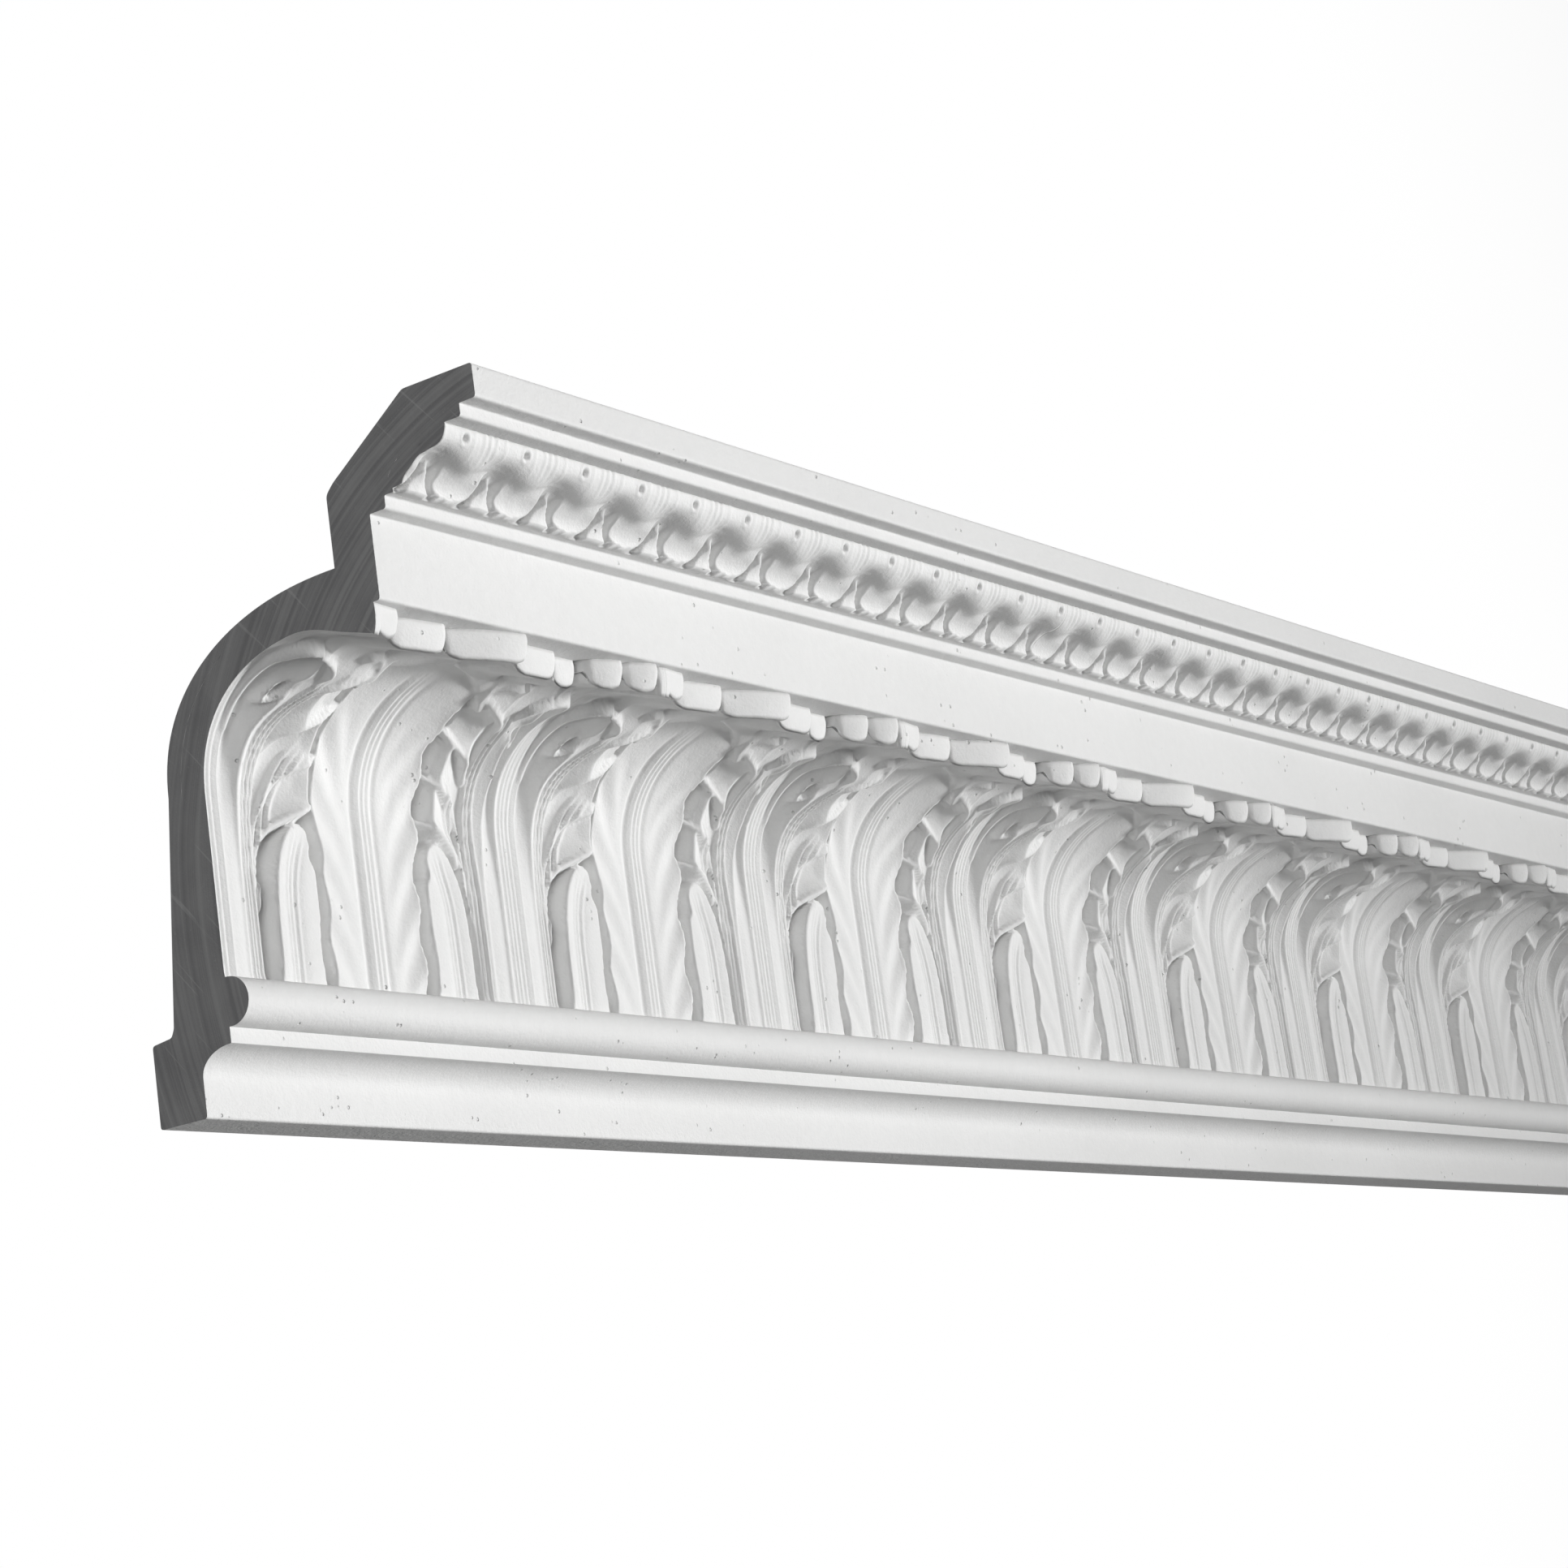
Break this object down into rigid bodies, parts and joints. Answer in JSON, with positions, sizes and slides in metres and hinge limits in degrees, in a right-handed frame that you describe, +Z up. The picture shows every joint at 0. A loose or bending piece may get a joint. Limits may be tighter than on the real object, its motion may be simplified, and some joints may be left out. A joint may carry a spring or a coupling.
{
  "type": "cornice moulding length",
  "caption": "Straight length of hollow-backed cornice moulding with acanthus leaves in its cove and a leaf-and-tongue band above, cut square at both ends.",
  "frame": {"origin": "middle of the length and of the height of the strip that lies flat against the wall", "axes": "+X along the moulding, +Y into the wall, +Z up towards the ceiling"},
  "size_m": [1.095, 0.1535, 0.2],
  "materials": {
    "cast_white": "matt white primed casting with grey sawn ends"
  },
  "bodies": {
    "root": {"cornice_moulding": "cast_white"}
  },
  "joints": []
}
